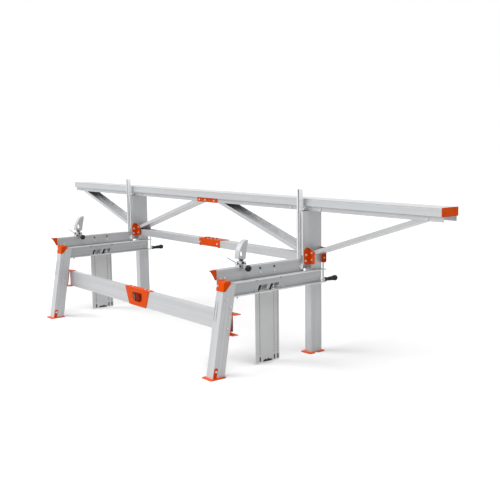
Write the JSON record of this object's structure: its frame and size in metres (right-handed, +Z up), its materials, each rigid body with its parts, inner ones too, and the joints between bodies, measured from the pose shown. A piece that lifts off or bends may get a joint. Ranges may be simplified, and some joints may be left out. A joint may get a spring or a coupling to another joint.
{
  "type": "chainsaw mill",
  "caption": "Chainsaw sawmill frame: a long guide rail braced on two trestles with crank-lifted log beds, posts and log clamps.",
  "frame": {"origin": "on the floor, at the centre of the object's outline seen from above", "axes": "+X along the guide rail towards its capped end, +Y from the front legs towards the columns and crank handles, +Z up"},
  "size_m": [5.504, 1.4192, 1.367],
  "materials": {
    "bare_aluminium": "mill-finish extrusion",
    "zinc_steel": "zinc plated",
    "orange_paint": "satin powder coat",
    "black_plastic": "moulded satin"
  },
  "bodies": {
    "frame": {"left_guide_rail": "bare_aluminium", "right_guide_rail": "bare_aluminium", "rail_end_cap": "orange_paint", "rail_joint_plate": "orange_paint", "right_outer_brace": "bare_aluminium", "left_outer_brace": "bare_aluminium", "right_inner_brace": "bare_aluminium", "left_inner_brace": "bare_aluminium", "left_back_beam": "bare_aluminium", "right_back_beam": "bare_aluminium", "back_joint_plate": "orange_paint", "left_front_beam": "bare_aluminium", "right_front_beam": "bare_aluminium", "inner_beam_bracket": "orange_paint", "front_joint_bracket": "orange_paint", "left_column": "bare_aluminium", "left_column_foot": "orange_paint", "left_node_plate_right": "orange_paint", "left_node_plate_left": "orange_paint", "left_rear_plate": "orange_paint", "left_fixed_beam": "bare_aluminium", "left_beam_cap": "orange_paint", "left_leg": "bare_aluminium", "left_leg_foot": "orange_paint", "left_beam_bracket": "orange_paint", "right_column": "bare_aluminium", "right_column_foot": "orange_paint", "right_node_plate_right": "orange_paint", "right_node_plate_left": "orange_paint", "right_rear_plate": "orange_paint", "right_fixed_beam": "bare_aluminium", "right_beam_cap": "orange_paint", "right_leg": "bare_aluminium", "right_leg_foot": "orange_paint", "right_beam_bracket": "orange_paint"},
    "left_bed": {"left_log_bed": "bare_aluminium", "left_bed_nose": "orange_paint", "left_height_plate": "zinc_steel", "left_lift_rack": "zinc_steel"},
    "left_crank": {"left_crank_shaft": "zinc_steel", "left_crank_arm": "zinc_steel"},
    "left_grip": {"left_crank_grip": "black_plastic"},
    "left_post": {"left_log_post": "bare_aluminium"},
    "left_clamp": {"left_clamp_saddle": "zinc_steel"},
    "left_hook": {"left_clamp_hook": "zinc_steel"},
    "left_lever": {"left_clamp_lever": "zinc_steel"},
    "left_knob": {"left_clamp_knob": "black_plastic"},
    "right_bed": {"right_log_bed": "bare_aluminium", "right_bed_nose": "orange_paint", "right_height_plate": "zinc_steel", "right_lift_rack": "zinc_steel"},
    "right_crank": {"right_crank_shaft": "zinc_steel", "right_crank_arm": "zinc_steel"},
    "right_grip": {"right_crank_grip": "black_plastic"},
    "right_post": {"right_log_post": "bare_aluminium"},
    "right_clamp": {"right_clamp_saddle": "zinc_steel"},
    "right_hook": {"right_clamp_hook": "zinc_steel"},
    "right_lever": {"right_clamp_lever": "zinc_steel"},
    "right_knob": {"right_clamp_knob": "black_plastic"}
  },
  "joints": [
    {"name": "left_bed_lift", "type": "slide", "parent": "frame", "child": "left_bed", "axis": [0, 0, 1], "range_m": [0, 0.42]},
    {"name": "left_crank_turn", "type": "hinge", "parent": "frame", "child": "left_crank", "pos_m": [-1.369, 0.47535, 0.785], "axis": [0, 1, 0], "range_deg": [0, 1210]},
    {"name": "left_grip_spin", "type": "hinge", "parent": "left_crank", "child": "left_grip", "pos_m": [-1.369, 0.64435, 0.598], "axis": [0, 1, 0], "continuous": true},
    {"name": "left_post_slide", "type": "slide", "parent": "left_bed", "child": "left_post", "axis": [0, 0, 1], "range_m": [-0.45, 0]},
    {"name": "left_clamp_slide", "type": "slide", "parent": "left_bed", "child": "left_clamp", "axis": [0, 1, 0], "range_m": [-0.14, 0.4]},
    {"name": "left_hook_swing", "type": "hinge", "parent": "left_clamp", "child": "left_hook", "pos_m": [-1.38, -0.31265, 0.834], "axis": [1, 0, 0], "range_deg": [-30, 15]},
    {"name": "left_lever_swing", "type": "hinge", "parent": "left_clamp", "child": "left_lever", "pos_m": [-1.365, -0.35745, 0.834], "axis": [0, 1, 0], "range_deg": [-20, 95]},
    {"name": "left_knob_turn", "type": "hinge", "parent": "left_clamp", "child": "left_knob", "pos_m": [-1.332, -0.29965, 0.795], "axis": [1, 0, 0], "continuous": true},
    {"name": "right_bed_lift", "type": "slide", "parent": "frame", "child": "right_bed", "axis": [0, 0, 1], "range_m": [0, 0.42]},
    {"name": "right_crank_turn", "type": "hinge", "parent": "frame", "child": "right_crank", "pos_m": [1.381, 0.47535, 0.785], "axis": [0, 1, 0], "range_deg": [0, 1210]},
    {"name": "right_grip_spin", "type": "hinge", "parent": "right_crank", "child": "right_grip", "pos_m": [1.381, 0.64435, 0.598], "axis": [0, 1, 0], "continuous": true},
    {"name": "right_post_slide", "type": "slide", "parent": "right_bed", "child": "right_post", "axis": [0, 0, 1], "range_m": [-0.45, 0]},
    {"name": "right_clamp_slide", "type": "slide", "parent": "right_bed", "child": "right_clamp", "axis": [0, 1, 0], "range_m": [-0.14, 0.4]},
    {"name": "right_hook_swing", "type": "hinge", "parent": "right_clamp", "child": "right_hook", "pos_m": [1.37, -0.31265, 0.834], "axis": [1, 0, 0], "range_deg": [-30, 15]},
    {"name": "right_lever_swing", "type": "hinge", "parent": "right_clamp", "child": "right_lever", "pos_m": [1.385, -0.35745, 0.834], "axis": [0, 1, 0], "range_deg": [-20, 95]},
    {"name": "right_knob_turn", "type": "hinge", "parent": "right_clamp", "child": "right_knob", "pos_m": [1.418, -0.29965, 0.795], "axis": [1, 0, 0], "continuous": true}
  ],
  "couplings": [
    {"joint": "left_crank_turn", "follows": "left_bed_lift", "rad_per_m": 50},
    {"joint": "right_crank_turn", "follows": "right_bed_lift", "rad_per_m": 50}
  ]
}
